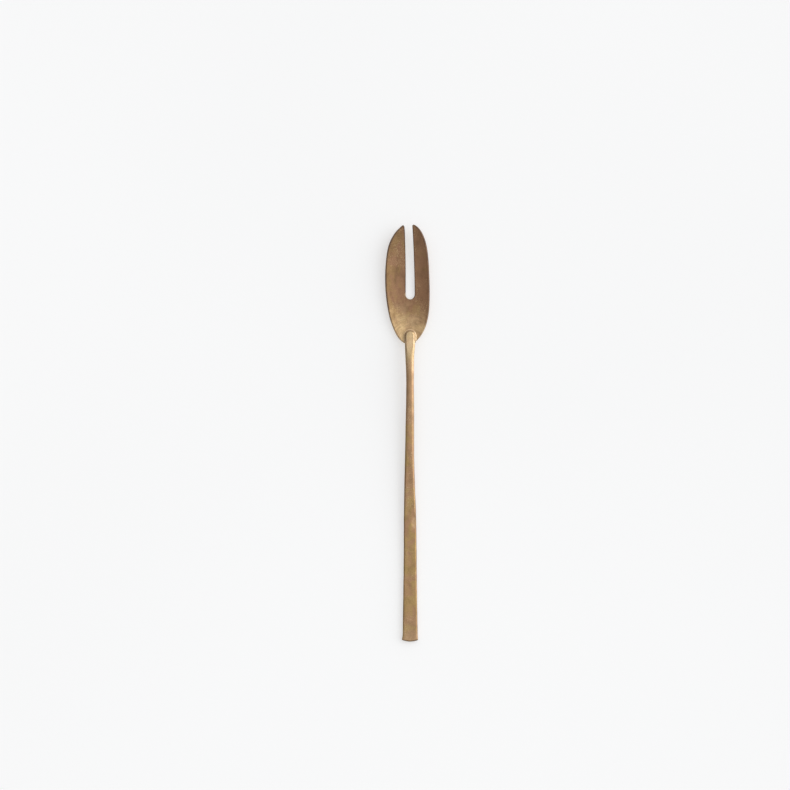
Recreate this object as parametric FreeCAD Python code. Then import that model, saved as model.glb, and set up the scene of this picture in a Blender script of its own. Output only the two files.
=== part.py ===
import FreeCAD, Part
import math
import os

# Split-bowl bar spoon in brass, hand-made in three pieces: a dished bowl of sheet with a long
# slot from its tip, a forged handle whose rounded end laps on the bowl's rear wall, and the
# brazed seam between the two.
#
# Frame: millimetres, +Y from the handle's end to the tips, +X to the right seen from above,
# +Z up. The spoon rests on its back with the bowl open upwards. The origin is under the middle
# of its outline, on the table.

# Overall sizes
overall_length = 180.0
bowl_length = 52.0
bowl_reach_left = 10.85
bowl_reach_right = 8.50

# Bowl: sheet, and the radii that the stake raised it to, all taken on the inside
sheet_thickness = 1.1
across_radius = 17.0
tip_rise_radius = 145.0
rear_rise_radius = 75.0
lowest_from_rear = 17.0
rim_rounding = 0.25
tine_corner_radius = 0.5

# Slot between the two tines
slot_length = 32.0
slot_root_width = 4.0
slot_mouth_width = 3.4
slot_root_offset = 0.15
slot_mouth_offset = -0.85
slot_right_bow = 0.25

# Handle: width, thickness and edge chamfer at each place along it
lap_length = 6.3
lap_width = 4.4
lap_thickness = 2.35
lap_chamfer = 0.65
neck_width = 3.8
neck_thickness = 2.9
neck_chamfer = 0.85
waist_width = 3.3
waist_thickness = 3.1
waist_chamfer = 0.75
middle_width = 3.9
middle_thickness = 3.1
middle_chamfer = 0.6
flare_width = 4.9
flare_thickness = 2.8
flare_chamfer = 0.45
blade_width = 5.5
blade_thickness = 2.3
blade_chamfer = 0.4
end_width = 6.6
end_thickness = 2.0
end_chamfer = 0.35
end_bow = 0.5

# Where those places are
neck_behind_rim = 6.0
waist_behind_rim = 17.5
middle_behind_rim = 38.0
flare_before_end = 60.0
blade_before_end = 34.0
flat_length = 30.0
neck_drop = 0.5
climb_power = 1.5

# Extra depth of metal left wherever a face is trimmed afterwards
trim_allowance = 0.3

# Brazed seam
film_thickness = 0.10
bead_width = 0.75
bead_height = 0.65

# Places worked out from the sizes
handle_end = -overall_length / 2
tip = overall_length / 2
bowl_rear = tip - bowl_length
bowl_lowest = bowl_rear + lowest_from_rear
handle_axis = (bowl_reach_left - bowl_reach_right) / 2

# Sizes of the shapes that only cut
above_everything = 40.0
margin = 5.0
grid_margin = 2.0
grid_columns = 12
grid_rows = 24


def point(x, y, z=0.0):
    return FreeCAD.Vector(x, y, z)


def prism(edges, low, high):
    """An upright prism on a closed outline drawn at z = 0."""
    face = Part.Face(Part.Wire(edges))
    face.translate(point(0, 0, low))
    return face.extrude(point(0, 0, high - low))


def arc_rise(distance, radius):
    """How far a circular arc has climbed at a distance from its lowest point."""
    return radius - math.sqrt(radius ** 2 - distance ** 2)


def arc_slope(distance, radius):
    return distance / math.sqrt(radius ** 2 - distance ** 2)


def along_radius(y):
    return tip_rise_radius if y > bowl_lowest else rear_rise_radius


def inside_height(x, y):
    """Height of the bowl's inner face: an arc across carried along a second arc."""
    along = arc_rise(y - bowl_lowest, along_radius(y))
    return sheet_thickness + arc_rise(x, across_radius) + along


def outside_height(x, y):
    """Height of the bowl's outer face, one sheet thickness away along the normal."""
    slope_across = arc_slope(x, across_radius)
    slope_along = arc_slope(y - bowl_lowest, along_radius(y))
    upright_thickness = sheet_thickness * math.sqrt(1 + slope_across ** 2 + slope_along ** 2)
    return inside_height(x, y) - upright_thickness


def dish_face(height_of, raised=0.0):
    """A smooth face through heights taken on an even grid a little wider than the bowl."""
    half_width = (bowl_reach_left + bowl_reach_right) / 2 + grid_margin
    low_y = bowl_rear - grid_margin
    high_y = tip + grid_margin
    grid = []
    for column in range(grid_columns + 1):
        x = -half_width + 2 * half_width * column / grid_columns
        line = []
        for row in range(grid_rows + 1):
            y = low_y + (high_y - low_y) * row / grid_rows
            line.append(point(x, y, height_of(x, y) + raised))
        grid.append(line)
    surface = Part.BSplineSurface()
    surface.interpolate(grid)
    return surface.toShape()


def space_above(face):
    return face.extrude(point(0, 0, above_everything))


def space_below(face):
    return face.extrude(point(0, 0, -above_everything))


# ---------------------------------------------------------------- bowl
# Outline points are shares of the reach on that side and of the bowl's length from the tip.
outline_right = [
    (0.34, 0.012),
    (0.61, 0.066),
    (0.84, 0.170),
    (0.94, 0.300),
    (1.00, 0.520),
    (0.96, 0.730),
    (0.81, 0.845),
    (0.36, 0.960),
]
outline_left = [
    (0.41, 0.955),
    (0.69, 0.850),
    (0.90, 0.690),
    (1.00, 0.440),
    (0.955, 0.280),
    (0.84, 0.155),
    (0.58, 0.061),
    (0.25, 0.009),
]


def bowl_outline():
    points = [point(handle_axis, tip)]
    for reach, down in outline_right:
        points.append(point(handle_axis + bowl_reach_right * reach, tip - bowl_length * down))
    points.append(point(handle_axis, bowl_rear))
    for reach, down in outline_left:
        points.append(point(handle_axis - bowl_reach_left * reach, tip - bowl_length * down))
    curve = Part.BSplineCurve()
    curve.interpolate(Points=points, PeriodicFlag=True)
    return curve.toShape()


def slot_cutter():
    """The slot's plan: a round root, a straight left edge and a slightly bowed right one."""
    root_radius = slot_root_width / 2
    root_x = handle_axis + slot_root_offset
    root_y = tip - slot_length + root_radius
    mouth_x = handle_axis + slot_mouth_offset
    mouth_y = tip + margin
    root_left = point(root_x - root_radius, root_y)
    root_right = point(root_x + root_radius, root_y)
    root_end = point(root_x, root_y - root_radius)
    mouth_left = point(mouth_x - slot_mouth_width / 2, mouth_y)
    mouth_right = point(mouth_x + slot_mouth_width / 2, mouth_y)
    right_middle = (root_right + mouth_right) * 0.5 + point(slot_right_bow, 0)
    edges = [
        Part.Arc(root_left, root_end, root_right).toShape(),
        Part.Arc(root_right, right_middle, mouth_right).toShape(),
        Part.LineSegment(mouth_right, mouth_left).toShape(),
        Part.LineSegment(mouth_left, root_left).toShape(),
    ]
    return prism(edges, -margin, above_everything)


bowl_blank = prism([bowl_outline()], -margin, above_everything / 2)
inner_face = dish_face(inside_height)
outer_face = dish_face(outside_height)
bowl = bowl_blank.cut(space_above(inner_face))
bowl = bowl.cut(space_below(outer_face))
bowl = bowl.cut(slot_cutter())


def is_upright(edge):
    """Is this one of the short edges that run through the sheet, from face to face?"""
    box = edge.BoundBox
    return box.ZLength > sheet_thickness / 2 and box.DiagonalLength < 2 * sheet_thickness


def is_tine_corner(edge):
    return is_upright(edge) and edge.BoundBox.YMin > tip - slot_length / 2


widest_rounding = sheet_thickness * 0.4
tine_corners = [edge for edge in bowl.Edges if is_tine_corner(edge)]
bowl = bowl.makeFillet(tine_corner_radius, tine_corners)
rims = [edge for edge in bowl.Edges if not is_upright(edge)]
bowl = bowl.makeFillet(min(rim_rounding, widest_rounding), rims)


# ---------------------------------------------------------------- handle
nose_radius = lap_width / 2
nose_centre = bowl_rear + lap_length - nose_radius
neck = bowl_rear - neck_behind_rim
flat_start = handle_end + flat_length
seat_edge = handle_axis + nose_radius - lap_chamfer
rim_seat = inside_height(seat_edge, bowl_rear) + film_thickness
neck_underside = rim_seat - neck_drop
nose_seat = inside_height(handle_axis, nose_centre) + film_thickness


def underside_at(y):
    """The bar leaves the table where its flat ends and climbs in a shallow curve to the neck."""
    share = (y - flat_start) / (neck - flat_start)
    if share < 0:
        return -trim_allowance
    return neck_underside * share ** climb_power


def bar_section(y, width, chamfer, low, high):
    """Corners of one cross-section of the bar: a rectangle with its four edges chamfered."""
    half = width / 2
    corners = [
        (-half, low + chamfer),
        (-half + chamfer, low),
        (half - chamfer, low),
        (half, low + chamfer),
        (half, high - chamfer),
        (half - chamfer, high),
        (-half + chamfer, high),
        (-half, high - chamfer),
    ]
    return [point(handle_axis + x, y, z) for x, z in corners]


def free_section(y, width, thickness, chamfer):
    """A cross-section between the end and the neck, at the height that the bar has there."""
    low = underside_at(y)
    return bar_section(y, width, chamfer, low, max(low, 0.0) + thickness)


def bar_through(sections):
    """A solid whose long edges are smooth curves through the matching corners of its sections."""
    stations = [corners[0].y for corners in sections]
    long_curves = []
    for along in zip(*sections):
        curve = Part.BSplineCurve()
        curve.interpolate(Points=list(along), Parameters=stations)
        long_curves.append(curve)
    faces = []
    for start, finish in zip(stations, stations[1:]):
        stretch = [curve.toShape(start, finish) for curve in long_curves]
        for number, edge in enumerate(stretch):
            faces.append(Part.makeRuledSurface(stretch[number - 1], edge))
    for corners in (sections[0], sections[-1]):
        faces.append(Part.Face(Part.makePolygon(corners + corners[:1])))
    shell = Part.makeShell(faces)
    shell.sewShape()
    return Part.makeSolid(shell)


def handle_bar():
    """The whole bar from its end to the middle of its rounded nose."""
    nose_low = nose_seat - lap_chamfer - trim_allowance
    sections = [
        free_section(handle_end, end_width, end_thickness, end_chamfer),
        free_section(handle_end + blade_before_end, blade_width, blade_thickness, blade_chamfer),
        free_section(handle_end + flare_before_end, flare_width, flare_thickness, flare_chamfer),
        free_section(bowl_rear - middle_behind_rim, middle_width, middle_thickness, middle_chamfer),
        free_section(bowl_rear - waist_behind_rim, waist_width, waist_thickness, waist_chamfer),
        free_section(neck, neck_width, neck_thickness, neck_chamfer),
        bar_section(bowl_rear, lap_width, lap_chamfer, rim_seat, rim_seat + lap_thickness),
        bar_section(nose_centre, lap_width, lap_chamfer, nose_low, nose_seat + lap_thickness),
    ]
    return bar_through(sections)


def handle_nose():
    """The rounded lap end: half of the bar's section turned about an upright axis."""
    low = nose_seat - lap_chamfer
    high = nose_seat + lap_thickness
    profile = [
        (0.0, low),
        (nose_radius, low),
        (nose_radius, high - lap_chamfer),
        (nose_radius - lap_chamfer, high),
        (0.0, high),
        (0.0, low),
    ]
    corners = [point(handle_axis + x, nose_centre, z) for x, z in profile]
    face = Part.Face(Part.makePolygon(corners))
    return face.revolve(point(handle_axis, nose_centre), point(0, 0, 1), 180)


def end_trimmer():
    """Everything past the handle's end, which is filed to a shallow outward bow."""
    reach = end_width
    bow = end_bow * (reach / (end_width / 2)) ** 2
    corner_left = point(handle_axis - reach, handle_end + bow)
    corner_right = point(handle_axis + reach, handle_end + bow)
    outer_right = point(handle_axis + reach, handle_end - margin)
    outer_left = point(handle_axis - reach, handle_end - margin)
    edges = [
        Part.Arc(corner_left, point(handle_axis, handle_end), corner_right).toShape(),
        Part.LineSegment(corner_right, outer_right).toShape(),
        Part.LineSegment(outer_right, outer_left).toShape(),
        Part.LineSegment(outer_left, corner_left).toShape(),
    ]
    return prism(edges, -margin, above_everything)


seat_cutter = space_below(dish_face(inside_height, film_thickness)).common(bowl_blank)
table_corner = point(-overall_length, -overall_length, -margin)
table = Part.makeBox(2 * overall_length, 2 * overall_length, margin, table_corner)
handle = handle_bar().fuse(handle_nose())
handle = handle.cut(seat_cutter)
handle = handle.cut(end_trimmer())
handle = handle.cut(table)


# ---------------------------------------------------------------- brazed seam
def bead_block():
    """A block with sloping sides around the lap, laid along the slope of the bowl's rear wall."""
    depth = bead_height
    foot = nose_radius + 2 * bead_width
    height = depth + bead_height
    back = lap_length + margin
    cone = Part.makeCone(foot, nose_radius, height, point(0, 0, -depth))
    profile = [
        (-foot, -depth),
        (foot, -depth),
        (nose_radius, bead_height),
        (-nose_radius, bead_height),
        (-foot, -depth),
    ]
    wedge = Part.Face(Part.makePolygon([point(x, 0, z) for x, z in profile]))
    block = cone.fuse(wedge.extrude(point(0, -back, 0)))
    slope = arc_slope(bowl_lowest - nose_centre, rear_rise_radius)
    block.rotate(point(0, 0, 0), point(1, 0, 0), -math.degrees(math.atan(slope)))
    block.translate(point(handle_axis, nose_centre, nose_seat - film_thickness))
    return block


solder_seam = bead_block().common(bowl_blank)
solder_seam = solder_seam.common(space_above(inner_face))
solder_seam = solder_seam.cut(handle)


# ---------------------------------------------------------------- output
nodes = {
    "bowl": bowl,
    "handle": handle,
    "solder_seam": solder_seam,
}

os.makedirs("parts", exist_ok=True)
for name, shape in nodes.items():
    piece = shape.removeSplitter()
    print(name, len(piece.Solids), "solid, valid", piece.isValid(), "mm3", round(piece.Volume, 1))
    piece.exportStep("parts/" + name + ".step")
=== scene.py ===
import bmesh
import bpy
import math
import random
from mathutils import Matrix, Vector, kdtree
from mathutils.noise import voronoi


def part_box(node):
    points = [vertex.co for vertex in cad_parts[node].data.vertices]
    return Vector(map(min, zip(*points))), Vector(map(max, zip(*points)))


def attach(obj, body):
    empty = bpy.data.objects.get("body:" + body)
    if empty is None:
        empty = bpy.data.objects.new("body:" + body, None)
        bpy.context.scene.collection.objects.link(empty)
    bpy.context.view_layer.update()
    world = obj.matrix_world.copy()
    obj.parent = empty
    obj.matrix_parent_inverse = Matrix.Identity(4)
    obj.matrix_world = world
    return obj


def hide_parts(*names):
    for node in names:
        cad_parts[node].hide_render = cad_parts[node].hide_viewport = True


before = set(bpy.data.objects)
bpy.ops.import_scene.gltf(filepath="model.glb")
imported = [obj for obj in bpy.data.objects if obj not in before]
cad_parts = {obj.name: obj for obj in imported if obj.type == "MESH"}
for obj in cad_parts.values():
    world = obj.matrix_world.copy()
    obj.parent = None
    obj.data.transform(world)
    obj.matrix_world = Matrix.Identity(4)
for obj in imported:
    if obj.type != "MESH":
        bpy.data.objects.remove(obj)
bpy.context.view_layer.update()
mm = 0.001

# ------------------------------------------------------------------ bowl
# The bowl is an oval sawn from 1.1 mm brass sheet. A long slot sawn in from the tip leaves two
# broad tines. It was sunk into a hollow with a round hammer, so it is dished both ways, and
# its sawn edges were filed round.
bowl_low, bowl_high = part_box("bowl")
handle_low, handle_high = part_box("handle")
tip = bowl_high.y
bowl_rear = bowl_low.y
bowl_length = tip - bowl_rear
handle_axis = (handle_low.x + handle_high.x) / 2
left_reach = handle_axis - bowl_low.x
right_reach = bowl_high.x - handle_axis
sheet_thickness = 1.1 * mm
across_radius = 17 * mm
tip_rise_radius = 145 * mm
rear_rise_radius = 75 * mm
lowest_place = bowl_rear + 17 * mm
root_radius = 2.0 * mm
root_x = handle_axis + 0.15 * mm
root_y = tip - 29.9 * mm
slot_lean_left = 0.5 * mm
slot_lean_right = 1.15 * mm
merge_distance = 0.001 * mm
mouth_flare = 0.25 * mm
flare_length = 4 * mm


def clear_selection():
    if bpy.context.object and bpy.context.object.mode != "OBJECT":
        bpy.ops.object.mode_set(mode="OBJECT")
    bpy.ops.object.select_all(action="DESELECT")


def make_active(piece):
    clear_selection()
    piece.select_set(True)
    bpy.context.view_layer.objects.active = piece


def apply_modifier(piece, kind, **settings):
    """Adds one modifier with these settings and applies it."""
    make_active(piece)
    modifier = piece.modifiers.new(kind.title(), kind)
    for setting, value in settings.items():
        setattr(modifier, setting, value)
    bpy.ops.object.modifier_apply(modifier=modifier.name)


def arc_rise(radius, away):
    """How far an arc of this radius has risen at this distance from its lowest place."""
    return radius - math.sqrt(radius ** 2 - away ** 2)


def dish_height(x, y, depth):
    """The dish's height this deep in the sheet: an arc across, carried along a second arc."""
    rise_radius = tip_rise_radius if y > lowest_place else rear_rise_radius
    across = arc_rise(across_radius + depth, x)
    along = arc_rise(rise_radius + depth, y - lowest_place)
    return sheet_thickness - depth + across + along


def keep_on_table(piece):
    """Lifts whatever dips below the table and shades the finished piece smooth."""
    for vertex in piece.data.vertices:
        vertex.co.z = max(0.0, vertex.co.z)
    make_active(piece)
    bpy.ops.object.shade_smooth()


# The outline from the left tine's inner corner round the rear to the right tine's, as shares
# of the reach to that side and of the bowl's length down from the tips.
outline_shares = [
    (-0.2458, 0.0102),
    (-0.2627, 0.0067),
    (-0.2857, 0.0054),
    (-0.307, 0.0065),
    (-0.40, 0.024),
    (-0.58, 0.062),
    (-0.84, 0.155),
    (-0.955, 0.28),
    (-1.00, 0.44),
    (-0.975, 0.575),
    (-0.90, 0.69),
    (-0.80, 0.785),
    (-0.68, 0.855),
    (-0.42, 0.955),
    (0.0, 1.0),
    (0.37, 0.958),
    (0.66, 0.895),
    (0.83, 0.83),
    (0.955, 0.74),
    (0.99, 0.65),
    (1.00, 0.53),
    (0.975, 0.41),
    (0.935, 0.29),
    (0.83, 0.165),
    (0.61, 0.066),
    (0.34, 0.012),
    (0.199, 0.0006),
    (0.1758, 0.0),
    (0.1465, 0.0013),
    (0.125, 0.0048),
]
# Each of those points has a partner on the slot's edge: so far down the left edge, round the
# root, and back up the right edge.
left_edge_shares = [0.0152, 0.019, 0.025, 0.033, 0.047, 0.08, 0.165, 0.29, 0.44]
root_turns = [180, 200, 222, 240, 256, 270, 284, 300, 318, 340, 360]
right_edge_shares = [0.54, 0.41, 0.29, 0.175, 0.085, 0.045, 0.03, 0.02, 0.014, 0.0098]


def slot_edge(down, side):
    """A place on the slot's long edge, which leans to the left as it nears the mouth."""
    y = tip - bowl_length * down
    climb = max(0.0, (y - root_y) / (tip - root_y))
    lean = slot_lean_right * climb ** 2
    if side < 0:
        flare = mouth_flare * max(0.0, 1 - (tip - y) / flare_length) ** 2
        lean = slot_lean_left * climb ** 2 + flare
    return (root_x + side * root_radius - lean, y, 0)


outline = []
for reach, down in outline_shares:
    side_reach = right_reach if reach > 0 else left_reach
    outline.append((handle_axis + side_reach * reach, tip - bowl_length * down, 0))
slot = [slot_edge(down, -1) for down in left_edge_shares]
for turn in root_turns:
    angle = math.radians(turn)
    slot.append((root_x + root_radius * math.cos(angle), root_y + root_radius * math.sin(angle), 0))
slot += [slot_edge(down, 1) for down in right_edge_shares]


def draw_line(name, places, steps):
    """A smooth line drawn point by point, and turned into a chain of edges."""
    clear_selection()
    bpy.ops.curve.primitive_bezier_curve_add(location=(0, 0, 0))
    line = bpy.context.object
    line.name = name
    line.data.resolution_u = steps
    bpy.ops.object.mode_set(mode="EDIT")
    bpy.ops.curve.select_all(action="SELECT")
    bpy.ops.curve.delete(type="VERT")
    for place in places:
        bpy.ops.curve.vertex_add(location=place)
    bpy.ops.curve.select_all(action="SELECT")
    bpy.ops.curve.handle_type_set(type="AUTOMATIC")
    bpy.ops.object.mode_set(mode="OBJECT")
    bpy.ops.object.convert(target="MESH")
    return bpy.context.object


bowl = draw_line("bowl_sheet", outline, 10)
bpy.ops.object.mode_set(mode="EDIT")
bpy.ops.mesh.select_all(action="DESELECT")
line = bmesh.from_edit_mesh(bowl.data)
for vertex in line.verts:
    if len(vertex.link_edges) == 2:
        vertex.select_set(True)
bmesh.update_edit_mesh(bowl.data)
bpy.ops.mesh.vertices_smooth(factor=0.5, repeat=25)
bpy.ops.object.mode_set(mode="OBJECT")
slot_line = draw_line("slot_line", slot, 10)
make_active(bowl)
slot_line.select_set(True)
bpy.ops.object.join()
bpy.ops.object.mode_set(mode="EDIT")
bpy.ops.mesh.select_all(action="SELECT")
bpy.ops.mesh.bridge_edge_loops(number_cuts=29, interpolation="LINEAR")
bpy.ops.mesh.select_all(action="SELECT")
bpy.ops.mesh.remove_doubles(threshold=merge_distance)
bpy.ops.mesh.normals_make_consistent(inside=False)
bpy.ops.object.mode_set(mode="OBJECT")
if bowl.data.polygons[0].normal.z < 0:
    bowl.data.flip_normals()
for vertex in bowl.data.vertices:
    vertex.co.z = dish_height(vertex.co.x, vertex.co.y, sheet_thickness)
apply_modifier(bowl, "SOLIDIFY", thickness=sheet_thickness, offset=1, use_even_offset=True)

# The sawn sides get three more rows, so that smoothing files their corners round.
make_active(bowl)
bpy.ops.object.mode_set(mode="EDIT")
bpy.ops.mesh.select_all(action="DESELECT")
sheet = bmesh.from_edit_mesh(bowl.data)
for edge in sheet.edges:
    low, high = edge.verts
    run = math.hypot(low.co.x - high.co.x, low.co.y - high.co.y)
    rise = abs(low.co.z - high.co.z)
    if rise > 0.6 * sheet_thickness and run < sheet_thickness:
        edge.select_set(True)
bmesh.update_edit_mesh(bowl.data)
bpy.ops.mesh.subdivide(number_cuts=3)
bpy.ops.mesh.select_all(action="SELECT")
bpy.ops.mesh.normals_make_consistent(inside=False)
bpy.ops.object.mode_set(mode="OBJECT")
apply_modifier(bowl, "SUBSURF", levels=1, render_levels=1)


def paint_weights(piece, name, weigh):
    """A vertex group whose weight at each point is what weigh(place, normal) says."""
    group = piece.vertex_groups.new(name=name)
    for vertex in piece.data.vertices:
        group.add([vertex.index], min(1.0, max(0.0, weigh(vertex.co, vertex.normal))), "REPLACE")


def hammer_texture(name, kind, size):
    """A pattern of dents or of soft waves, with the size of one dent."""
    texture = bpy.data.textures.new(name, kind)
    texture.noise_scale = size
    if kind == "VORONOI":
        texture.distance_metric = "DISTANCE_SQUARED"
    return texture


def inner_face(place, normal):
    return max(0.0, normal.z)


def rear_wall(place, normal):
    """How strongly the rear wall was planished here, fading out towards the tines."""
    down = (tip - place.y) / bowl_length
    return max(0.0, normal.z) * max(0.0, min(1.0, (down - 0.5) / 0.3))


paint_weights(bowl, "inner_face", inner_face)
apply_modifier(bowl, "DISPLACE", texture=hammer_texture("sunk_waves", "CLOUDS", 9 * mm),
               texture_coords="LOCAL", strength=0.11 * mm, mid_level=0.5)
apply_modifier(bowl, "DISPLACE", texture=hammer_texture("planishing", "VORONOI", 2.6 * mm),
               texture_coords="LOCAL", strength=0.022 * mm, mid_level=0.3,
               vertex_group="inner_face")

# The rear wall was planished in short curved strokes round the place where the lap sits.
lap_place = Vector((handle_axis, bowl_rear + 2 * mm, 0))
stroke_spacing = 0.9 * mm
strokes_around = 2.4
stroke_depth_mm = 0.016
strokes = []
for vertex in bowl.data.vertices:
    strength = rear_wall(vertex.co, vertex.normal)
    if strength > 0:
        away = Vector((vertex.co.x - lap_place.x, vertex.co.y - lap_place.y, 0))
        turn = math.atan2(away.y, away.x) * strokes_around
        to_middle = voronoi((away.length / stroke_spacing, turn, 0.5))[0][0]
        sink = vertex.normal * strength * stroke_depth_mm * mm * (1 - to_middle ** 2)
        strokes.append((vertex, sink))
for vertex, sink in strokes:
    vertex.co -= sink
keep_on_table(bowl)


def mark_near(piece, name, is_chosen, reach):
    """An attribute that is 1 at the chosen points of the piece and falls to 0 at this reach."""
    mesh = piece.data
    chosen = [vertex.co for vertex in mesh.vertices if is_chosen(vertex)]
    tree = kdtree.KDTree(len(chosen))
    for number, place in enumerate(chosen):
        tree.insert(place, number)
    tree.balance()
    closeness = mesh.attributes.new(name, "FLOAT", "POINT")
    for vertex in mesh.vertices:
        distance = tree.find(vertex.co)[2]
        closeness.data[vertex.index].value = max(0.0, 1.0 - distance / reach)


def on_lit_root_edge(vertex):
    """Whether the point is on the upper edge of the slot's round root, left and below, where it
    catches the light.
    """
    x, y = vertex.co.x - root_x, vertex.co.y - root_y
    if y > 1 * mm or x > 0.9 * mm or math.hypot(x, y) > root_radius + 0.15 * mm:
        return False
    return vertex.normal.z > 0.1


mark_near(bowl, "edge", lambda vertex: abs(vertex.normal.z) < 0.62, 0.8 * mm)
# The lit edge of the slot's root gets a painted highlight.
mark_near(bowl, "painted_root_highlight", on_lit_root_edge, 0.22 * mm)


def new_group(name, inputs, outputs):
    """An empty shader node group with these named sockets."""
    tree = bpy.data.node_groups.new(name, "ShaderNodeTree")
    for socket_name, kind, value in inputs:
        socket = tree.interface.new_socket(socket_name, in_out="INPUT", socket_type=kind)
        if value is not None:
            socket.default_value = value
    for socket_name, kind in outputs:
        tree.interface.new_socket(socket_name, in_out="OUTPUT", socket_type=kind)
    return tree, tree.nodes.new("NodeGroupInput"), tree.nodes.new("NodeGroupOutput")


def noise(tree, place, scale, detail, stretch=(1, 1, 1), roughness=0.5, distortion=0.0):
    """Noise of this scale at this place, stretched along an axis where a value is under 1."""
    node = tree.nodes.new("ShaderNodeTexNoise")
    node.inputs["Scale"].default_value = scale
    node.inputs["Detail"].default_value = detail
    node.inputs["Roughness"].default_value = roughness
    node.inputs["Distortion"].default_value = distortion
    mapping = tree.nodes.new("ShaderNodeMapping")
    mapping.inputs["Scale"].default_value = stretch
    tree.links.new(place, mapping.inputs["Vector"])
    tree.links.new(mapping.outputs["Vector"], node.inputs["Vector"])
    return node.outputs["Fac"]


def spread(tree, value, low, high, to_low=0.0, to_high=1.0):
    """The value, with low to high spread over to_low to to_high."""
    node = tree.nodes.new("ShaderNodeMapRange")
    node.interpolation_type = "SMOOTHSTEP"
    for socket, number in (("From Min", low), ("From Max", high),
                           ("To Min", to_low), ("To Max", to_high)):
        node.inputs[socket].default_value = number
    tree.links.new(value, node.inputs["Value"])
    return node.outputs["Result"]


def combine(tree, operation, first, second):
    """A Math node of two values, each of them a socket or a number."""
    node = tree.nodes.new("ShaderNodeMath")
    node.operation = operation
    for socket, value in zip(node.inputs, (first, second)):
        if isinstance(value, (int, float)):
            socket.default_value = value
        else:
            tree.links.new(value, socket)
    return node.outputs[0]


def blend(tree, mask, first, second, how="MIX"):
    """The first colour, covered with the second where the mask is 1."""
    node = tree.nodes.new("ShaderNodeMix")
    node.data_type = "RGBA"
    node.blend_type = how
    if isinstance(mask, (int, float)):
        node.inputs[0].default_value = mask
    else:
        tree.links.new(mask, node.inputs[0])
    for socket, colour in ((node.inputs[6], first), (node.inputs[7], second)):
        if isinstance(colour, tuple):
            socket.default_value = colour
        else:
            tree.links.new(colour, socket)
    return node.outputs[2]


def build_patina():
    """Aged brass: ochre and rose clouds, brown stains, and metal showing where it was rubbed."""
    tree, inside, outside = new_group(
        "aged brass colour",
        [
            ("Place", "NodeSocketVector", None),
            ("Ochre", "NodeSocketColor", (0.4, 0.25, 0.1, 1)),
            ("Rose", "NodeSocketColor", (0.4, 0.2, 0.12, 1)),
            ("Brown", "NodeSocketColor", (0.2, 0.11, 0.05, 1)),
            ("Bare metal", "NodeSocketColor", (0.8, 0.55, 0.3, 1)),
            ("Rubbed", "NodeSocketFloat", 0.0),
            ("Stains", "NodeSocketFloat", 0.5),
            ("Redness", "NodeSocketFloat", 0.0),
        ],
        [
            ("Color", "NodeSocketColor"),
            ("Roughness", "NodeSocketFloat"),
        ],
    )
    place = inside.outputs["Place"]
    clouds = noise(tree, place, 170, 3, distortion=0.6)
    streaks = noise(tree, place, 620, 3, stretch=(1, 0.08, 1))
    stains = noise(tree, place, 330, 4, stretch=(1, 0.55, 1))
    grains = noise(tree, place, 2300, 2)
    tone = combine(tree, "ADD", combine(tree, "MULTIPLY", clouds, 0.72),
                   combine(tree, "MULTIPLY", streaks, 0.28))
    tone = combine(tree, "ADD", tone, inside.outputs["Redness"])
    colour = blend(tree, spread(tree, tone, 0.42, 0.58), inside.outputs["Ochre"],
                   inside.outputs["Rose"])
    stained = combine(tree, "MULTIPLY", spread(tree, stains, 0.48, 0.70), inside.outputs["Stains"])
    colour = blend(tree, stained, colour, inside.outputs["Brown"])
    patches = spread(tree, stains, 0.30, 0.58, 0.95, 0.55)
    rubbed = combine(tree, "MULTIPLY", patches, inside.outputs["Rubbed"])
    colour = blend(tree, rubbed, colour, inside.outputs["Bare metal"])
    # Small spots where the patina has worn through, gathered in patches.
    worn = combine(tree, "MULTIPLY", spread(tree, noise(tree, place, 2900, 2), 0.54, 0.68),
                   spread(tree, noise(tree, place, 130, 2), 0.46, 0.62))
    colour = blend(tree, combine(tree, "MULTIPLY", worn, 0.62), colour,
                   inside.outputs["Bare metal"])
    speckle = spread(tree, grains, 0.30, 0.70, 0.92, 1.07)
    colour = blend(tree, 1.0, colour, speckle, "MULTIPLY")
    tree.links.new(colour, outside.inputs["Color"])
    dull = combine(tree, "ADD", spread(tree, stains, 0.35, 0.7, 0.40, 0.52),
                   combine(tree, "MULTIPLY", rubbed, -0.08))
    tree.links.new(dull, outside.inputs["Roughness"])
    return tree


def build_tool_marks():
    """The fine skin that hammer, file and use leave: pits, hair scratches and a soft grain."""
    tree, inside, outside = new_group(
        "tool marks",
        [
            ("Place", "NodeSocketVector", None),
            ("Scratches", "NodeSocketFloat", 0.5),
            ("Pits", "NodeSocketFloat", 0.5),
        ],
        [
            ("Height", "NodeSocketFloat"),
            ("Pit mask", "NodeSocketFloat"),
        ],
    )
    place = inside.outputs["Place"]
    along = noise(tree, place, 3200, 2, stretch=(1, 0.05, 1))
    across = noise(tree, place, 2600, 2, stretch=(0.12, 1, 1))
    scratches = combine(tree, "MULTIPLY", combine(tree, "ADD", along, across),
                        inside.outputs["Scratches"])
    crumbs = noise(tree, place, 1900, 3, roughness=0.6, distortion=1.2)
    chosen = spread(tree, noise(tree, place, 300, 2), 0.50, 0.66)
    pit = combine(tree, "MULTIPLY", spread(tree, crumbs, 0.60, 0.72), chosen)
    pit = combine(tree, "MULTIPLY", pit, inside.outputs["Pits"])
    grain = combine(tree, "MULTIPLY", noise(tree, place, 1500, 4), 0.8)
    height = combine(tree, "SUBTRACT", combine(tree, "ADD", scratches, grain), pit)
    tree.links.new(height, outside.inputs["Height"])
    tree.links.new(pit, outside.inputs["Pit mask"])
    return tree


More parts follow.
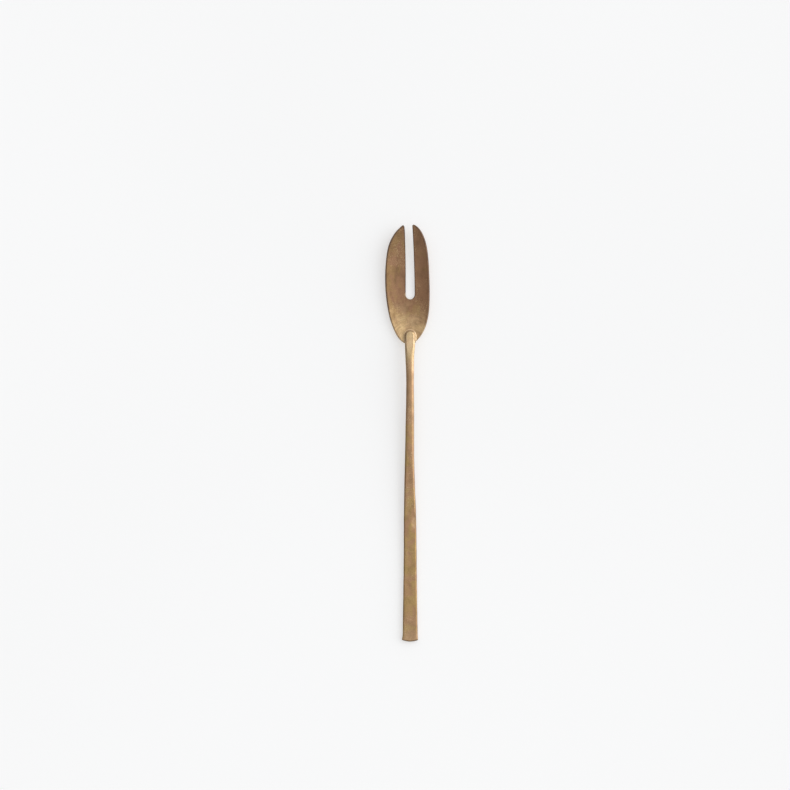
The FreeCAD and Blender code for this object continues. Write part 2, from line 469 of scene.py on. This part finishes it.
def build_edge_tarnish_and_shade():
    """Where edges darken: tarnish that the cloth misses, and painted shade, broken up so that it
    isn't a line.
    """
    tree, inside, outside = new_group(
        "edge tarnish and painted shade",
        [
            ("Place", "NodeSocketVector", None),
            ("Edge", "NodeSocketFloat", 0.0),
            ("Strength", "NodeSocketFloat", 0.8),
        ],
        [("Mask", "NodeSocketFloat")],
    )
    uneven = spread(tree, noise(tree, inside.outputs["Place"], 420, 3), 0.35, 0.62, 0.65, 1.0)
    near = spread(tree, inside.outputs["Edge"], 0.15, 0.85)
    mask = combine(tree, "MULTIPLY", combine(tree, "MULTIPLY", near, uneven),
                   inside.outputs["Strength"])
    tree.links.new(mask, outside.inputs["Mask"])
    return tree


patina = build_patina()
tool_marks = build_tool_marks()
edge_tarnish_and_shade = build_edge_tarnish_and_shade()


def place_group(tree, group, **values):
    """The group, placed in a material's tree with its sockets set or linked."""
    node = tree.nodes.new("ShaderNodeGroup")
    node.node_tree = group
    for name, value in values.items():
        socket = node.inputs[name.replace("_", " ")]
        if isinstance(value, (int, float, tuple)):
            socket.default_value = value
        else:
            tree.links.new(value, socket)
    return node


def start_material(name):
    """A material with its Principled shader and the object's own coordinates."""
    material = bpy.data.materials.new(name)
    material.use_nodes = True
    tree = material.node_tree
    shader = tree.nodes["Principled BSDF"]
    place = tree.nodes.new("ShaderNodeTexCoord").outputs["Object"]
    return material, tree, shader, place


def attribute(tree, name):
    node = tree.nodes.new("ShaderNodeAttribute")
    node.attribute_name = name
    return node.outputs["Fac"]


def roughen(tree, shader, height, depth):
    """A bump of this depth from the height, on the shader's normal."""
    bump = tree.nodes.new("ShaderNodeBump")
    bump.inputs["Distance"].default_value = depth
    bump.inputs["Strength"].default_value = 1.0
    tree.links.new(height, bump.inputs["Height"])
    tree.links.new(bump.outputs["Normal"], shader.inputs["Normal"])


def split_axes(tree, place):
    """The X, Y and Z of a place, each as its own socket."""
    node = tree.nodes.new("ShaderNodeSeparateXYZ")
    tree.links.new(place, node.inputs["Vector"])
    return node.outputs


def along_y(tree, place, start, finish):
    """A mask that rises from 0 at y = start to 1 at y = finish, a little unevenly."""
    wander = spread(tree, noise(tree, place, 260, 3), 0.3, 0.7, -3 * mm, 3 * mm)
    height = combine(tree, "ADD", split_axes(tree, place)["Y"], wander)
    return spread(tree, height, start, finish)


bowl_brass, tree, shader, place = start_material("bowl_brass")
shader.inputs["Metallic"].default_value = 0.6
rear_rubbed = along_y(tree, place, bowl_rear + 19.5 * mm, bowl_rear + 5 * mm)
axes = split_axes(tree, place)
rubbed = combine(tree, "MULTIPLY", rear_rubbed,
                 spread(tree, axes["X"], handle_axis, handle_axis + 8 * mm, 1.0, 0.7))
# The left tine is redder towards the slot. Painted shade darkens both tines towards their tips,
# which turn away from the light, and darkens the left side of the bowl a shade against the right.
redness = spread(tree, axes["X"], handle_axis - 8.5 * mm, handle_axis - 3 * mm,
                 -0.06, 0.08)
redness = combine(tree, "MULTIPLY", redness, combine(tree, "SUBTRACT", 1.0, rear_rubbed))
painted_tip_shade = spread(tree, axes["Y"], bowl_rear + 24 * mm, tip, 1.0, 0.91)
painted_left_shade = spread(tree, axes["X"], handle_axis - 6 * mm, handle_axis + 3 * mm,
                  0.92, 1.05)
colour = place_group(tree, patina, Place=place, Ochre=(0.378, 0.230, 0.102, 1),
                     Rose=(0.367, 0.202, 0.110, 1), Brown=(0.22, 0.125, 0.065, 1),
                     Bare_metal=(0.77, 0.555, 0.295, 1), Rubbed=rubbed, Stains=0.4,
                     Redness=redness)
marks = place_group(tree, tool_marks, Place=place, Scratches=0.35, Pits=0.6)
# The darkening of the bowl's edges is partly tarnish and partly painted shade, weaker at the rubbed
# rear.
edge_darkening_strength = combine(tree, "SUBTRACT", 0.85, combine(tree, "MULTIPLY", rear_rubbed, 0.55))
tarnish_and_shade = place_group(tree, edge_tarnish_and_shade, Place=place, Edge=attribute(tree, "edge"), Strength=edge_darkening_strength)
# Fine curved strokes round the lap: noise laid out by distance from it and by angle about it.
sideways = combine(tree, "SUBTRACT", axes["X"], lap_place.x)
ahead = combine(tree, "SUBTRACT", axes["Y"], lap_place.y)
away = combine(tree, "POWER", combine(tree, "ADD", combine(tree, "MULTIPLY", sideways, sideways),
                                      combine(tree, "MULTIPLY", ahead, ahead)), 0.5)
about = combine(tree, "MULTIPLY", combine(tree, "ARCTAN2", ahead, sideways), 1.2 * mm)
rings = tree.nodes.new("ShaderNodeCombineXYZ")
tree.links.new(away, rings.inputs["X"])
tree.links.new(about, rings.inputs["Y"])
fine_strokes = noise(tree, rings.outputs["Vector"], 1450, 2, distortion=0.3)
# The strokes also lighten and darken the colour a little: a painted sheen on the rear wall.
painted_stroke_sheen = spread(tree, fine_strokes, 0.36, 0.64, -0.15, 0.15)
painted_stroke_sheen = combine(tree, "MULTIPLY", painted_stroke_sheen, rear_rubbed)
painted_stroke_sheen = combine(tree, "ADD", painted_stroke_sheen, 1.0)
# The painted shade at the tips and on the left, and the strokes' painted sheen, go into the colour.
painted_shade = combine(tree, "MULTIPLY", painted_tip_shade, painted_left_shade)
with_painted_light = blend(tree, 1.0, colour.outputs["Color"], combine(tree, "MULTIPLY", painted_stroke_sheen, painted_shade),
                "MULTIPLY")
with_pits = blend(tree, marks.outputs["Pit mask"], with_painted_light, (0.16, 0.09, 0.05, 1))
with_tarnish_and_shade = blend(tree, tarnish_and_shade.outputs["Mask"], with_pits, (0.13, 0.075, 0.05, 1))
# A painted highlight on the lit edge of the slot's root.
root_highlight_mask = combine(tree, "MULTIPLY", attribute(tree, "painted_root_highlight"), 0.75)
with_root_highlight = blend(tree, root_highlight_mask, with_tarnish_and_shade, (0.88, 0.74, 0.58, 1))
tree.links.new(with_root_highlight, shader.inputs["Base Color"])
oxide = combine(tree, "MULTIPLY", combine(tree, "SUBTRACT", 1.0, rear_rubbed), 0.13)
tree.links.new(combine(tree, "ADD", colour.outputs["Roughness"], oxide),
               shader.inputs["Roughness"])
stroke_height = combine(tree, "MULTIPLY", combine(tree, "MULTIPLY", fine_strokes, rear_rubbed),
                        1.6)
roughen(tree, shader, combine(tree, "ADD", marks.outputs["Height"], stroke_height), 0.02 * mm)
bowl.data.materials.clear()
bowl.data.materials.append(bowl_brass)

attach(bowl, "root")
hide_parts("bowl")

# ------------------------------------------------------------------ handle
# The handle is one brass bar, forged from a flat blade at its end to a narrow neck with broad
# chamfers. It rises off the table towards the neck, and its last 6 mm, rounded at the end,
# lap onto the bowl. Hammer blows left flats along it.
handle_end = handle_low.y
lap_radius = 2.2 * mm
lap_chamfer = 0.65 * mm
nose_y = bowl_rear + 6.3 * mm - lap_radius
film = 0.1 * mm
nose_seat = dish_height(handle_axis, nose_y, 0) + film
rim_seat = dish_height(handle_axis + lap_radius - lap_chamfer, bowl_rear, 0) + film
neck_seat = rim_seat - 0.5 * mm
flat_length = 30 * mm
neck_y = bowl_rear - 6 * mm
end_bow = 0.9 * mm
bow_length = 4 * mm
end_rounding = 0.62 * mm
end_drop = 0.75 * mm
widest_half = 3.3 * mm
# Distance from the end, half width to the left and to the right, thickness, then how wide and
# how high its chamfers are, all in mm.
bar_sizes = [
    (0.0, 3.50, 3.46, 2.0, 0.45, 0.30),
    (3.0, 3.18, 3.31, 2.0, 0.45, 0.30),
    (16.0, 2.97, 3.07, 2.1, 0.46, 0.30),
    (33.0, 2.73, 2.90, 2.3, 0.50, 0.33),
    (55.0, 2.66, 2.62, 2.7, 0.55, 0.35),
    (67.5, 2.48, 2.12, 2.9, 0.62, 0.38),
    (80.5, 2.18, 1.76, 3.1, 0.72, 0.42),
    (98.0, 1.84, 1.72, 3.1, 0.82, 0.46),
    (110.5, 1.64, 1.62, 3.1, 0.86, 0.48),
    (118.0, 1.78, 1.66, 3.0, 0.90, 0.50),
    (123.5, 2.05, 1.74, 2.85, 0.92, 0.52),
    (128.0, 2.22, 2.10, 2.40, 0.74, 0.50),
    (132.0, 2.20, 2.20, 2.35, 0.68, 0.48),
]


def between(table, distance):
    """The row of a table at this distance, on smooth curves through the rows given."""
    rows = [table[0]] + list(table) + [table[-1]]
    for number in range(1, len(rows) - 2):
        before, start, finish, after = rows[number - 1:number + 3]
        if distance <= finish[0] or number == len(rows) - 3:
            share = (distance - start[0]) / (finish[0] - start[0])
            found = []
            for a, b, c, d in zip(before[1:], start[1:], finish[1:], after[1:]):
                pull = 0.5 * (c - a) * share + (a - 2.5 * b + 2 * c - 0.5 * d) * share ** 2
                found.append(b + pull + 0.5 * (3 * b - a - 3 * c + d) * share ** 3)
            return found
    return rows[-1][1:]


def underside(y):
    """The bar's underside: flat on the table, up in a shallow curve to the neck, then lapping."""
    if y <= neck_y:
        share = max(0.0, (y - handle_end - flat_length) / (neck_y - handle_end - flat_length))
        return neck_seat * share ** 1.5
    if y <= bowl_rear:
        share = (y - neck_y) / (bowl_rear - neck_y)
        return neck_seat + (rim_seat - neck_seat) * share
    share = (y - bowl_rear) / (nose_y - bowl_rear)
    return rim_seat + (nose_seat - rim_seat) * share


def crown_height(chamfer_width):
    """How far the upper face bulges: not at all in the blade, a little where it is narrow."""
    return 0.22 * max(0.0, chamfer_width - 0.5 * mm)


def bar_ring(y):
    """Ten places round the bar at this y, from the middle of the underside."""
    found = between(bar_sizes, (y - handle_end) / mm)
    left, right, thickness, chamfer_width, chamfer_height = [size * mm for size in found]
    low = underside(y)
    high = low + thickness
    crown = crown_height(chamfer_width)
    flat_left = handle_axis - left + chamfer_width
    flat_right = handle_axis + right - chamfer_width
    return [
        (handle_axis, low),
        (flat_right, low),
        (handle_axis + right, low + chamfer_height),
        (handle_axis + right, high - chamfer_height),
        (flat_right, high),
        (handle_axis, high + crown),
        (flat_left, high),
        (handle_axis - left, high - chamfer_height),
        (handle_axis - left, low + chamfer_height),
        (flat_left, low),
    ]


def nearest_place(places, x, z):
    return min(range(len(places)), key=lambda n: math.hypot(places[n][0] - x, places[n][1] - z))


clear_selection()
bpy.ops.mesh.primitive_circle_add(vertices=10, radius=lap_radius, fill_type="NGON",
                                  location=(handle_axis, handle_end, lap_radius),
                                  rotation=(math.radians(90), 0, 0))
handle = bpy.context.object
handle.name = "handle_bar"
bpy.ops.object.transform_apply(location=True, rotation=True, scale=True)
ring = bar_ring(handle_end)
centre = Vector((handle_axis, lap_radius))
around = sorted(handle.data.vertices,
                key=lambda v: math.atan2(v.co.x - centre.x, centre.y - v.co.z) % math.tau)
for vertex, (x, z) in zip(around, ring):
    vertex.co = (x, handle_end, z)
stations = [handle_end + distance * mm for distance in (0.12, 0.26, 0.42, 0.62, 0.9, 1.4, 2.1)]
stations += [handle_end + 3 * mm + (nose_y - handle_end - 3 * mm) * n / 70 for n in range(71)]
bpy.ops.object.mode_set(mode="EDIT")
bpy.ops.mesh.select_all(action="SELECT")
y = handle_end
for station in stations:
    bpy.ops.mesh.extrude_region_move(TRANSFORM_OT_translate={"value": (0, station - y, 0)})
    y = station
    next_ring = bar_ring(y)
    bar = bmesh.from_edit_mesh(handle.data)
    for vertex in bar.verts:
        if vertex.select:
            x, z = next_ring[nearest_place(ring, vertex.co.x, vertex.co.z)]
            vertex.co = (x, y, z)
    bmesh.update_edit_mesh(handle.data)
    ring = next_ring
# The end face of the lap goes, and the right half of its edge is spun round into the nose.
bpy.ops.mesh.delete(type="FACE")
bar = bmesh.from_edit_mesh(handle.data)
for vertex in bar.verts:
    vertex.select_set(vertex.co.y > nose_y - 0.01 * mm and vertex.co.x > handle_axis - 0.01 * mm)
bar.select_flush(True)
bmesh.update_edit_mesh(handle.data)
bpy.ops.mesh.spin(steps=14, angle=-math.pi, center=(handle_axis, nose_y, 0), axis=(0, 0, 1))
bpy.ops.mesh.select_all(action="SELECT")
bpy.ops.mesh.remove_doubles(threshold=0.01 * mm)
bpy.ops.mesh.normals_make_consistent(inside=False)
bpy.ops.mesh.select_all(action="DESELECT")
bpy.ops.mesh.edges_select_sharp(sharpness=math.radians(28))
bpy.ops.transform.edge_crease(value=0.62)
bpy.ops.object.mode_set(mode="OBJECT")
for vertex in handle.data.vertices:
    place = vertex.co
    across = (place.x - handle_axis) / widest_half
    towards_end = max(0.0, 1 - (place.y - handle_end) / bow_length)
    low = underside(min(place.y, nose_y))
    if place.y > bowl_rear and place.z < low + 0.6 * mm:
        place.z += dish_height(place.x, place.y, 0) + 0.02 * mm - low
    near_end = 1 - (place.y - handle_end) / end_rounding
    if near_end > 0 and place.z > 1.0 * mm:
        place.z -= end_drop * (1 - math.sqrt(max(0.0, 1 - near_end ** 2)))
    place.y += end_bow * across ** 2 * towards_end
apply_modifier(handle, "SUBSURF", levels=3, render_levels=3)


# The bar's points, sorted into slices a millimetre long so that a blow finds its own quickly.
deepest_blow = 0.5 * mm
slices = {}
for vertex in handle.data.vertices:
    slices.setdefault(int(vertex.co.y // mm), []).append(vertex)


def hammer_blow(centre, facing, reach, along, fading=0.4):
    """Flattens the metal on an oval of this reach, fading over this share of it to its rim."""
    for number in range(int((centre.y - along) // mm), int((centre.y + along) // mm) + 1):
        for vertex in slices.get(number, []):
            offset = vertex.co - centre
            height = offset.dot(facing)
            if height <= 0 or height > deepest_blow:
                continue
            sideways = offset - facing * height
            oval = math.hypot(math.hypot(sideways.x, sideways.z) / reach, sideways.y / along)
            if oval < 1:
                vertex.co -= facing * height * min(1.0, (1 - oval) / fading)


def tilted(sideways, lengthways):
    """A direction leaning from straight up by these degrees to the right and along the bar."""
    lean = math.radians(sideways)
    pitch = math.radians(lengthways)
    return Vector((math.sin(lean), math.sin(pitch), math.cos(lean) * math.cos(pitch))).normalized()


def top_height(y):
    """The height of the middle of the bar's upper face."""
    _, _, thickness, chamfer_width, _ = between(bar_sizes, (y - handle_end) / mm)
    return underside(y) + thickness * mm + crown_height(chamfer_width * mm)


def lean_back(y):
    """The upper face's climb at this y, as the degrees that a square blow leans back."""
    return -math.degrees(math.atan((top_height(y + mm) - top_height(y - mm)) / (2 * mm)))


# The blows: at each place one down the middle and one on an upper edge, at their own slants.
blows = random.Random(11)
y = handle_end + 3 * mm
while y < neck_y - 4 * mm:
    left, right, _, chamfer_width, _ = between(bar_sizes, (y - handle_end) / mm)
    high = top_height(y)
    drift = blows.uniform(-0.4, 0.4) * left * mm
    middle = Vector((handle_axis + drift, y, high - blows.uniform(0.02, 0.04) * mm))
    hammer_blow(middle, tilted(blows.uniform(-2.2, 2.2), lean_back(y) + blows.uniform(-1.1, 1.1)),
                blows.uniform(1.6, 2.6) * mm, blows.uniform(2.2, 3.6) * mm)
    side = blows.choice((-1, 1))
    half = left if side < 0 else right
    shoulder = handle_axis + side * (half - 0.8 * chamfer_width) * mm
    hammer_blow(Vector((shoulder, y, high - blows.uniform(0.04, 0.12) * mm)),
                tilted(side * blows.uniform(14, 24), lean_back(y) + blows.uniform(-1.5, 1.5)),
                blows.uniform(0.7, 1.1) * mm, blows.uniform(1.8, 3.2) * mm)
    y += blows.uniform(3.2, 6.0) * mm
# One long blow took the right edge off further, two fifths of the way up the bar.
long_blow = handle_end + 51.7 * mm
hammer_blow(Vector((handle_axis + 1.5 * mm, long_blow, underside(long_blow) + 2.4 * mm)),
            tilted(12, lean_back(long_blow)), 2.6 * mm, 4.6 * mm, fading=0.75)
apply_modifier(handle, "DISPLACE", texture=hammer_texture("forged_waves", "CLOUDS", 5 * mm),
               texture_coords="LOCAL", strength=0.10 * mm, mid_level=0.5)
keep_on_table(handle)
mark_near(handle, "edge", lambda vertex: 0.25 < abs(vertex.normal.z) < 0.6, 0.7 * mm)
# The upper rounding of the bar's end, turned away from the light, gets painted shade.
mark_near(handle, "end_edge_shade", lambda vertex: vertex.normal.y < -0.35 and vertex.normal.z > 0.1,
          0.3 * mm)


def on_lap(vertex):
    return vertex.co.y > nose_y - 2.2 * mm


def on_long_flat(vertex):
    """Whether the point is on the flat that the long blow left."""
    across = (vertex.co.x - handle_axis - 1.9 * mm) / (1.0 * mm)
    along = (vertex.co.y - long_blow) / (2.4 * mm)
    return vertex.normal.z > 0.5 and math.hypot(across, along) < 1


mark_near(handle, "long_flat", on_long_flat, 0.4 * mm)
# The lap's sides and chamfers are darkened, tarnish and painted shade, and the edge of its upper
# face gets a painted highlight.
mark_near(handle, "lap_side_tarnish_and_shade", lambda vertex: on_lap(vertex) and 0.1 < vertex.normal.z < 0.89,
          0.1 * mm)
mark_near(handle, "lap_edge_highlight", lambda vertex: on_lap(vertex) and 0.9 < vertex.normal.z < 0.96,
          0.09 * mm)

handle_brass, tree, shader, place = start_material("handle_brass")
shader.inputs["Metallic"].default_value = 1.0
neck_rubbed = along_y(tree, place, neck_y - 34 * mm, bowl_rear + 2 * mm)
end_rubbed = along_y(tree, place, handle_end + 16 * mm, handle_end)
# A reddish stretch below the neck, which the hand doesn't polish.
reddish = combine(tree, "MULTIPLY", along_y(tree, place, neck_y - 22 * mm, neck_y - 17 * mm),
                  along_y(tree, place, neck_y - 1 * mm, neck_y - 7 * mm))
polished = combine(tree, "MULTIPLY", neck_rubbed,
                   combine(tree, "SUBTRACT", 0.80, combine(tree, "MULTIPLY", reddish, 0.45)))
rubbed = combine(tree, "ADD", polished, combine(tree, "MULTIPLY", end_rubbed, 0.34))
rubbed = combine(tree, "ADD", rubbed, 0.06)
edge_near = combine(tree, "MULTIPLY", spread(tree, attribute(tree, "edge"), 0.2, 0.9),
                    combine(tree, "ADD", combine(tree, "MULTIPLY", neck_rubbed, 0.33), 0.12))
rubbed = combine(tree, "MAXIMUM", rubbed, edge_near)
rubbed = combine(tree, "MAXIMUM", rubbed,
                 combine(tree, "MULTIPLY", attribute(tree, "long_flat"), 0.42))
colour = place_group(tree, patina, Place=place, Ochre=(0.49, 0.325, 0.135, 1),
                     Rose=(0.48, 0.282, 0.155, 1), Brown=(0.27, 0.165, 0.085, 1),
                     Bare_metal=(0.81, 0.61, 0.37, 1), Rubbed=rubbed, Stains=0.4,
                     Redness=combine(tree, "MULTIPLY", reddish, 0.14))
marks = place_group(tree, tool_marks, Place=place, Scratches=0.5, Pits=0.7)
with_pits = blend(tree, marks.outputs["Pit mask"], colour.outputs["Color"], (0.2, 0.12, 0.06, 1))
axes = split_axes(tree, place)
# Painted shade on the chamfers: on the left, which faces away from the light, and on the right
# below the neck, where it dulls the light they catch.
left_edge_shade = spread(tree, axes["X"], handle_axis - 1 * mm, handle_axis, 0.4, 0.0)
right_edge_shade = spread(tree, axes["X"], handle_axis, handle_axis + 1 * mm, 0.0, 0.85)
painted_edge_shade = combine(tree, "MULTIPLY", right_edge_shade, combine(tree, "SUBTRACT", 1.0, neck_rubbed))
painted_edge_shade = combine(tree, "ADD", painted_edge_shade, left_edge_shade)
tarnish_and_shade = place_group(tree, edge_tarnish_and_shade, Place=place, Edge=attribute(tree, "edge"),
                    Strength=painted_edge_shade)
with_tarnish_and_shade = blend(tree, tarnish_and_shade.outputs["Mask"], with_pits, (0.25, 0.155, 0.10, 1))
# Tarnish and painted shade on the lap's sides, and a painted highlight along its upper edge.
with_lap_side_darkening = blend(tree, combine(tree, "MULTIPLY", attribute(tree, "lap_side_tarnish_and_shade"), 0.5), with_tarnish_and_shade,
                  (0.30, 0.19, 0.10, 1))
with_lap_edge_highlight = blend(tree, combine(tree, "MULTIPLY", attribute(tree, "lap_edge_highlight"), 0.45), with_lap_side_darkening,
                  (0.95, 0.82, 0.62, 1))
# Painted shade on the upper rounding of the end.
painted_end_shade = combine(tree, "MULTIPLY", attribute(tree, "end_edge_shade"), 0.6)
with_end_shade = blend(tree, painted_end_shade, with_lap_edge_highlight, (0.17, 0.11, 0.055, 1))
tree.links.new(with_end_shade, shader.inputs["Base Color"])
polish = combine(tree, "ADD", combine(tree, "MULTIPLY", neck_rubbed, 0.05), 0.09)
gloss = combine(tree, "SUBTRACT", colour.outputs["Roughness"], polish)
tree.links.new(gloss, shader.inputs["Roughness"])
roughen(tree, shader, marks.outputs["Height"], 0.015 * mm)
handle.data.materials.clear()
handle.data.materials.append(handle_brass)

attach(handle, "root")
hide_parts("handle")

# ------------------------------------------------------------------ solder seam
# A thin fillet of brass solder, drawn by heat into the joint between the lap and the bowl. It
# runs up one side of the lap, round its nose and down the other side.
seam_steps = 28
run_steps = 8
run_end = bowl_rear + 0.15 * mm
thinning_length = 1.1 * mm
rim_inset = 0.35 * mm
rim_curve = 0.115
# Its section, as how far outside the lap's side and above the bowl each corner is, in mm.
fillet = [
    (-0.20, -0.25),
    (0.66, -0.20),
    (0.56, 0.02),
    (0.36, 0.14),
    (0.19, 0.27),
    (0.08, 0.46),
    (-0.20, 0.52),
]
clear_selection()
bpy.ops.mesh.primitive_circle_add(vertices=len(fillet), radius=0.3 * mm, fill_type="NOTHING",
                                  location=(handle_axis + lap_radius, nose_y, 0),
                                  rotation=(math.radians(90), 0, 0))
seam = bpy.context.object
seam.name = "seam_fillet"
bpy.ops.object.transform_apply(location=True, rotation=True, scale=True)
for vertex, (out, up) in zip(seam.data.vertices, fillet):
    vertex.co = (handle_axis + lap_radius + out * mm, nose_y, up * mm)
bpy.ops.object.mode_set(mode="EDIT")
bpy.ops.mesh.select_all(action="SELECT")
bpy.ops.mesh.spin(steps=seam_steps, angle=-math.pi, center=(handle_axis, nose_y, 0),
                  axis=(0, 0, 1))
# Both open ends are drawn back along the lap to the bowl's rim, and closed there.
bpy.ops.mesh.select_all(action="DESELECT")
ribbon = bmesh.from_edit_mesh(seam.data)
for edge in ribbon.edges:
    if len(edge.link_faces) == 1:
        edge.select_set(True)
bmesh.update_edit_mesh(seam.data)
for step in range(run_steps):
    bpy.ops.mesh.extrude_region_move(
        TRANSFORM_OT_translate={"value": (0, (run_end - nose_y) / run_steps, 0)})
bpy.ops.mesh.edge_face_add()
bpy.ops.mesh.select_all(action="SELECT")
bpy.ops.mesh.remove_doubles(threshold=merge_distance)
bpy.ops.mesh.normals_make_consistent(inside=False)
bpy.ops.object.mode_set(mode="OBJECT")
# Both runs end just inside the bowl's curved rim, thinning out over the last millimetre.
for vertex in seam.data.vertices:
    place = vertex.co
    out = abs(place.x - handle_axis) - lap_radius
    share = (nose_y - place.y) / (nose_y - run_end)
    if share > 0:
        rim = bowl_rear + rim_inset + rim_curve * (place.x - handle_axis) ** 2 / mm
        place.y = nose_y - share * (nose_y - rim)
        thin = max(0.0, min(1.0, 1 - (place.y - rim) / thinning_length))
        place.z = place.z * (1 - 0.8 * thin) - 0.08 * mm * thin
        place.x -= math.copysign(max(0.0, out) * 0.55 * thin, place.x - handle_axis)
    place.z += dish_height(place.x, place.y, 0)
apply_modifier(seam, "SUBSURF", levels=2, render_levels=2)
apply_modifier(seam, "DISPLACE", texture=hammer_texture("solder_ripples", "CLOUDS", 1.3 * mm),
               texture_coords="LOCAL", strength=0.13 * mm, mid_level=0.5)
keep_on_table(seam)


def beside_lap(vertex):
    """Whether the point is in the groove between the fillet and the lap's side."""
    ahead = max(0.0, vertex.co.y - nose_y)
    return math.hypot(vertex.co.x - handle_axis, ahead) < lap_radius + 0.16 * mm


mark_near(seam, "groove", beside_lap, 0.14 * mm)

solder_brass, tree, shader, place = start_material("solder_brass")
shader.inputs["Metallic"].default_value = 0.9
colour = place_group(tree, patina, Place=place, Ochre=(0.80, 0.62, 0.38, 1),
                     Rose=(0.78, 0.57, 0.38, 1), Brown=(0.45, 0.30, 0.17, 1),
                     Bare_metal=(0.93, 0.78, 0.54, 1), Rubbed=0.6, Stains=0.3)
marks = place_group(tree, tool_marks, Place=place, Scratches=0.1, Pits=0.5)
in_groove = combine(tree, "MULTIPLY", attribute(tree, "groove"), 0.8)
with_groove = blend(tree, in_groove, colour.outputs["Color"], (0.25, 0.15, 0.08, 1))
tree.links.new(with_groove, shader.inputs["Base Color"])
tree.links.new(colour.outputs["Roughness"], shader.inputs["Roughness"])
roughen(tree, shader, marks.outputs["Height"], 0.02 * mm)
seam.data.materials.clear()
seam.data.materials.append(solder_brass)

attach(seam, "root")
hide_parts("solder_seam")

# ------------------------------------------------------------------ table, camera and lights
# A wide pale table seen from straight above, one large soft lamp up on the right, and soft
# light from a white room that is brighter towards the window.
clear_selection()
bpy.ops.mesh.primitive_plane_add(size=6, location=(0, 0, 0))
table = bpy.context.object
table.name = "table"
table_paint, tree, shader, place = start_material("table_paint")
shader.inputs["Roughness"].default_value = 0.85
shader.inputs["Specular IOR Level"].default_value = 0.2
shader.inputs["Emission Color"].default_value = (1, 1, 1, 1)
shader.inputs["Emission Strength"].default_value = 0.46
cloudy = spread(tree, noise(tree, place, 3, 2), 0.3, 0.7)
tree.links.new(blend(tree, cloudy, (0.585, 0.590, 0.595, 1), (0.603, 0.608, 0.613, 1)),
               shader.inputs["Base Color"])
table.data.materials.append(table_paint)

view_centre = Vector((-5.3 * mm, 16.6 * mm, 0))
lens = 100
sensor_width = 36
view_width = 340 * mm
focus_height = 3 * mm
camera_height = view_width * lens / sensor_width + focus_height
bpy.ops.object.camera_add(location=(view_centre.x, view_centre.y, camera_height),
                          rotation=(0, 0, 0))
camera = bpy.context.object
camera.data.lens = lens
camera.data.sensor_width = sensor_width
bpy.context.scene.camera = camera

window_direction = Vector((0.86, 0.34, 0.54)).normalized()
bpy.ops.object.light_add(type="SUN", location=window_direction)
window = bpy.context.object
window.rotation_euler = window_direction.to_track_quat("Z", "Y").to_euler()
window.data.angle = math.radians(60)
window.data.energy = 0.92

room = bpy.data.worlds.new("room")
bpy.context.scene.world = room
room.use_nodes = True
walls = room.node_tree
background = walls.nodes["Background"]
background.inputs["Color"].default_value = (1, 1, 1, 1)
facing_window = walls.nodes.new("ShaderNodeVectorMath")
facing_window.operation = "DOT_PRODUCT"
facing_window.inputs[1].default_value = Vector((0.55, 0.62, 0.56)).normalized()
walls.links.new(walls.nodes.new("ShaderNodeTexCoord").outputs["Generated"],
                facing_window.inputs[0])
brightness = spread(walls, facing_window.outputs["Value"], -0.8, 1.0, 0.12, 0.90)
# Behind the table the room is a plain pale grey, however much light each side of it gives.
plain_grey = 0.93
seen = walls.nodes.new("ShaderNodeLightPath").outputs["Is Camera Ray"]
in_the_room = combine(walls, "MULTIPLY", combine(walls, "SUBTRACT", 1.0, seen), brightness)
behind = combine(walls, "MULTIPLY", seen, plain_grey)
walls.links.new(combine(walls, "ADD", in_the_room, behind), background.inputs["Strength"])
bpy.context.scene.view_settings.view_transform = "Standard"
